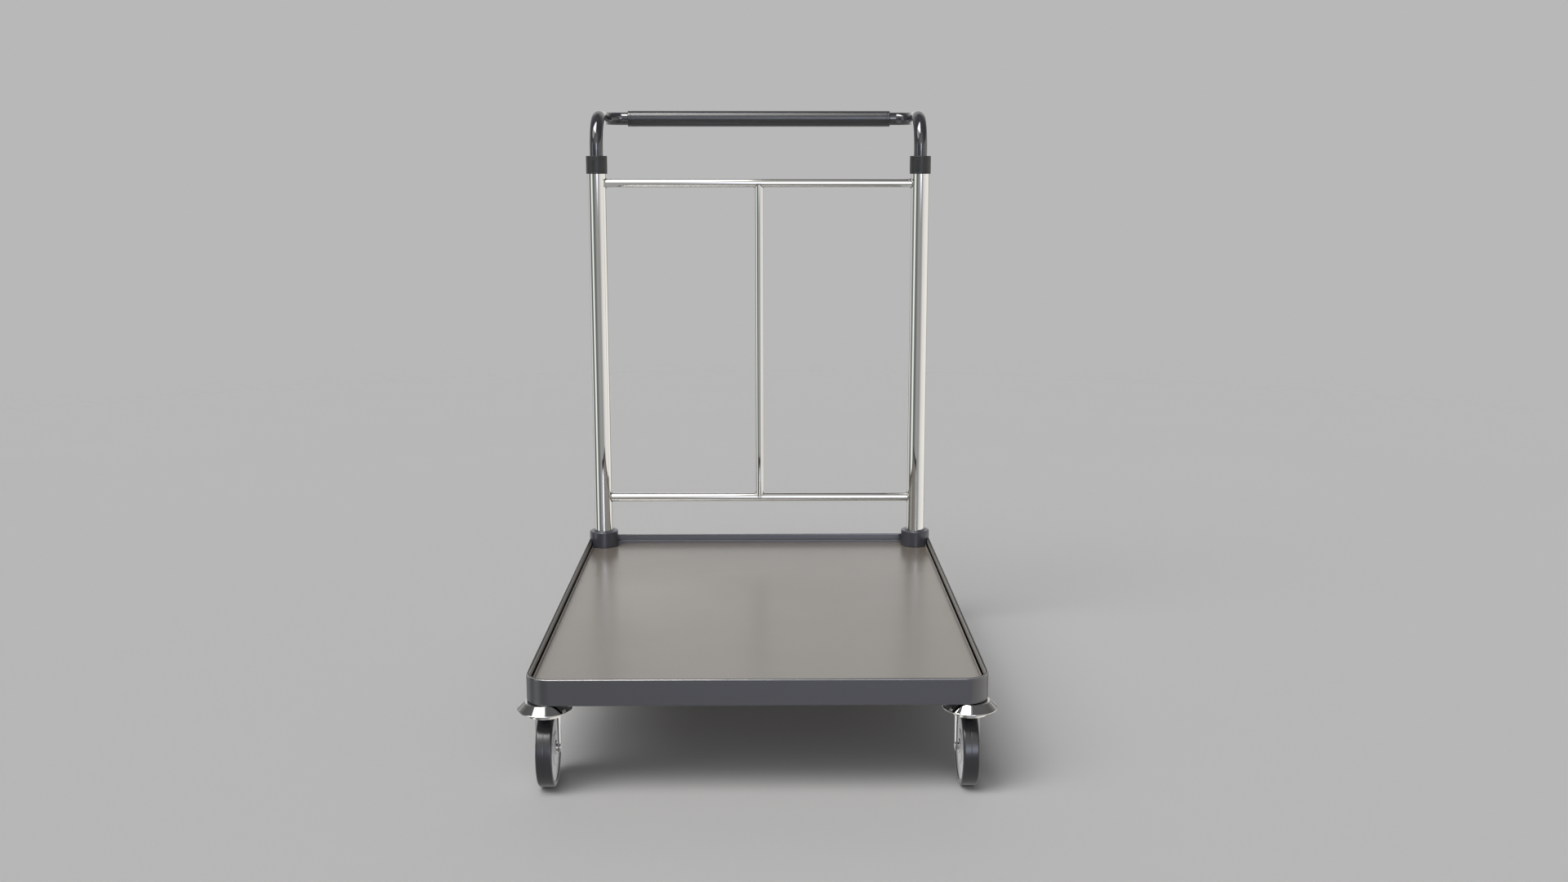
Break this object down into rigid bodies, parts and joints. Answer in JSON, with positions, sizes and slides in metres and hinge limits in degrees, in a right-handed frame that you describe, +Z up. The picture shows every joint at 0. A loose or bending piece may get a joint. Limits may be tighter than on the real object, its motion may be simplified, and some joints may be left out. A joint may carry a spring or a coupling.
{
  "type": "luggage trolley",
  "caption": "Push trolley with a flat rimmed tray on casters, a tube frame at the rear and a press-down push handle that works the rear wheel brakes.",
  "frame": {"origin": "floor level under the centre of the overall footprint", "axes": "+X to the right seen from the front, +Y from the front edge towards the handle, +Z up"},
  "size_m": [0.7072, 1.0754, 1.0238],
  "materials": {
    "band_metal": "satin",
    "deck": "satin",
    "underframe": "satin",
    "cast_block": "matt",
    "zinc_fastener": "satin",
    "socket": "satin",
    "chrome_tube": "polished",
    "collar_plastic": "matt",
    "bush_plastic": "matt",
    "deflector_chrome": "polished",
    "caster_steel": "polished",
    "handle_chrome": "polished",
    "grip_rubber": "matt",
    "rod_steel": "satin",
    "brake_rubber": "matt",
    "ball_steel": "polished",
    "tyre": "satin",
    "wheel_plastic": "satin"
  },
  "bodies": {
    "chassis": {"platform_band": "band_metal", "deck_panel": "deck", "cross_member_front": "underframe", "cross_member_centre": "underframe", "cross_member_rear": "underframe", "corner_block_front_left": "cast_block", "corner_block_front_right": "cast_block", "corner_block_rear_left": "cast_block", "corner_block_rear_right": "cast_block", "corner_screws": "zinc_fastener", "socket_left": "socket", "socket_right": "socket", "upright_left": "chrome_tube", "upright_right": "chrome_tube", "top_rail": "chrome_tube", "bottom_rail": "chrome_tube", "centre_rod": "chrome_tube", "collar_left": "collar_plastic", "collar_right": "collar_plastic", "guide_bushes": "bush_plastic", "rod_guides": "bush_plastic", "deflector_front_left": "deflector_chrome", "deflector_front_right": "deflector_chrome", "deflector_rear_left": "deflector_chrome", "deflector_rear_right": "deflector_chrome", "upper_races": "caster_steel", "kingpins": "zinc_fastener", "rear_mount_rings": "caster_steel", "rear_fork_left": "caster_steel", "rear_fork_right": "caster_steel", "rear_fork_screws": "zinc_fastener", "rear_axles": "zinc_fastener"},
    "handle": {"handle_tube": "handle_chrome", "grip": "grip_rubber", "leg_plugs": "bush_plastic", "brake_rods": "rod_steel", "brake_carriers": "rod_steel", "brake_pads": "brake_rubber", "return_spring_left": "rod_steel", "return_spring_right": "rod_steel"},
    "front_left_swivel": {"front_left_fork": "caster_steel", "front_left_race": "caster_steel", "front_left_balls": "ball_steel", "front_left_axle": "zinc_fastener"},
    "front_right_swivel": {"front_right_fork": "caster_steel", "front_right_race": "caster_steel", "front_right_balls": "ball_steel", "front_right_axle": "zinc_fastener"},
    "front_left_wheel": {"front_left_tyre": "tyre", "front_left_wheel_centre": "wheel_plastic", "front_left_bearings": "ball_steel"},
    "front_right_wheel": {"front_right_tyre": "tyre", "front_right_wheel_centre": "wheel_plastic", "front_right_bearings": "ball_steel"},
    "rear_left_wheel": {"rear_left_tyre": "tyre", "rear_left_wheel_centre": "wheel_plastic", "rear_left_bearings": "ball_steel"},
    "rear_right_wheel": {"rear_right_tyre": "tyre", "rear_right_wheel_centre": "wheel_plastic", "rear_right_bearings": "ball_steel"}
  },
  "joints": [
    {"name": "handle_press", "type": "slide", "parent": "chassis", "child": "handle", "axis": [0, 0, 1], "range_m": [-0.012, 0], "stiffness_N_per_m": 6000, "springref_m": 0.02, "deforming": ["return_spring_left", "return_spring_right"]},
    {"name": "front_left_swivel", "type": "hinge", "parent": "chassis", "child": "front_left_swivel", "pos_m": [-0.313, -0.4971, 0.1205], "axis": [0, 0, 1], "continuous": true},
    {"name": "front_right_swivel", "type": "hinge", "parent": "chassis", "child": "front_right_swivel", "pos_m": [0.313, -0.4971, 0.1205], "axis": [0, 0, 1], "continuous": true},
    {"name": "front_left_wheel", "type": "hinge", "parent": "front_left_swivel", "child": "front_left_wheel", "pos_m": [-0.313, -0.4721, 0.0575], "axis": [1, 0, 0], "continuous": true},
    {"name": "front_right_wheel", "type": "hinge", "parent": "front_right_swivel", "child": "front_right_wheel", "pos_m": [0.313, -0.4721, 0.0575], "axis": [1, 0, 0], "continuous": true},
    {"name": "rear_left_wheel", "type": "hinge", "parent": "chassis", "child": "rear_left_wheel", "pos_m": [-0.312, 0.3619, 0.0575], "axis": [1, 0, 0], "continuous": true},
    {"name": "rear_right_wheel", "type": "hinge", "parent": "chassis", "child": "rear_right_wheel", "pos_m": [0.312, 0.3619, 0.0575], "axis": [1, 0, 0], "continuous": true}
  ]
}
